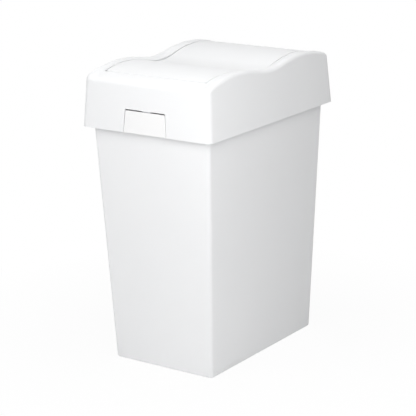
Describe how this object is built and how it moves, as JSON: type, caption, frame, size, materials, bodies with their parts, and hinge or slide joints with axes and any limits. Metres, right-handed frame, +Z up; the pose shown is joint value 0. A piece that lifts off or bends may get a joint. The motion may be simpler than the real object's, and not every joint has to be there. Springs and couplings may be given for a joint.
{
  "type": "countertop trash can with swing lid",
  "caption": "Small rectangular countertop waste bin with a lift-off hood, a wavy flap that swings both ways and a latch tab at the front.",
  "frame": {"origin": "on the ground under the middle of the bin", "axes": "+Z up, +X across the width, -Y towards the front with the latch tab"},
  "size_m": [0.1314, 0.189, 0.2578],
  "materials": {
    "white_plastic": "white injection-moulded polypropylene, satin gloss",
    "tab_plastic": "slightly whiter moulded plastic, satin gloss",
    "nylon": "natural nylon, matt",
    "steel": "plain bright steel"
  },
  "bodies": {
    "bin": {"bin_body": "white_plastic"},
    "hood_unit": {"hood": "white_plastic", "latch_pin": "steel", "latch_spring": "steel"},
    "flap": {"swing_flap": "white_plastic", "flap_pin_left": "nylon", "flap_pin_right": "nylon", "counterweight_bar": "steel", "weight_cap_left": "nylon", "weight_cap_right": "nylon"},
    "latch": {"latch_tab": "tab_plastic"}
  },
  "joints": [
    {"name": "hood_lift", "type": "slide", "parent": "bin", "child": "hood_unit", "axis": [0, 0, 1], "range_m": [0, 0.06]},
    {"name": "flap_swing", "type": "hinge", "parent": "hood_unit", "child": "flap", "pos_m": [0, 0, 0.24445], "axis": [1, 0, 0], "range_deg": [-75, 75]},
    {"name": "latch_swing", "type": "hinge", "parent": "hood_unit", "child": "latch", "pos_m": [0, -0.09087, 0.2227], "axis": [-1, 0, 0], "range_deg": [0, 30], "stiffness_Nm_per_rad": 0.02, "springref_deg": -28.65, "deforming": ["latch_spring"]}
  ]
}
